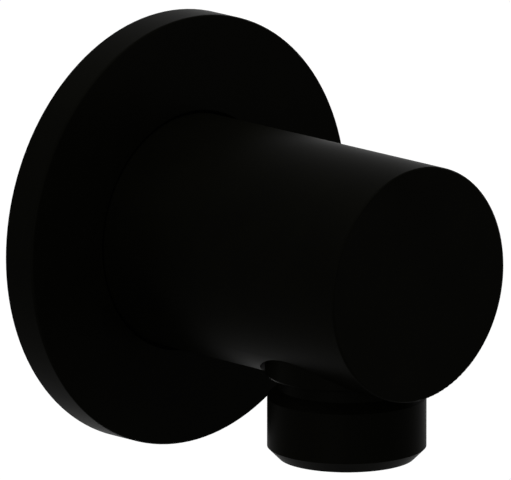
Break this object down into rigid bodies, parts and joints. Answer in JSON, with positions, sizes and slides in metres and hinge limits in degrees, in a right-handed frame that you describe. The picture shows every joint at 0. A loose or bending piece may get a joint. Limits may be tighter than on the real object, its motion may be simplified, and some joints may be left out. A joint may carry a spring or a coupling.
{
  "type": "wall outlet elbow",
  "caption": "Wall outlet elbow for a shower hose: a round matt black body on a disc flange, with a downward hose nipple that holds a non-return valve.",
  "frame": {"origin": "on the body's axis, in the plane of the finished wall, where the inlet thread starts", "axes": "+Y into the wall along the inlet thread, -Y out along the body, -Z down along the hose"},
  "size_m": [0.0576, 0.0611, 0.0576],
  "materials": {
    "black_coating": "satin matt black coating over brass",
    "bare_brass": "turned brass",
    "ring_rubber": "moulded rubber",
    "gasket_foam": "cut foam rubber",
    "valve_plastic": "moulded acetal",
    "spring_steel": "drawn wire"
  },
  "bodies": {
    "fitting": {"elbow_body": "black_coating", "inlet_nipple": "bare_brass", "inlet_o_ring": "ring_rubber", "hose_nipple": "black_coating", "hose_o_ring": "ring_rubber", "valve_cage": "valve_plastic", "valve_seat": "valve_plastic", "cage_o_ring": "ring_rubber", "valve_spring": "spring_steel"},
    "cover": {"wall_flange": "black_coating", "flange_o_ring": "ring_rubber", "flange_gasket": "gasket_foam"},
    "valve": {"valve_poppet": "valve_plastic", "poppet_seal": "ring_rubber"}
  },
  "joints": [
    {"name": "flange_slide", "type": "slide", "parent": "fitting", "child": "cover", "axis": [0, -1, 0], "range_m": [0, 0.0175]},
    {"name": "valve_lift", "type": "slide", "parent": "fitting", "child": "valve", "axis": [0, 0, -1], "range_m": [0, 0.0025], "stiffness_N_per_m": 80, "springref_m": -0.00125, "deforming": ["valve_spring"]}
  ]
}
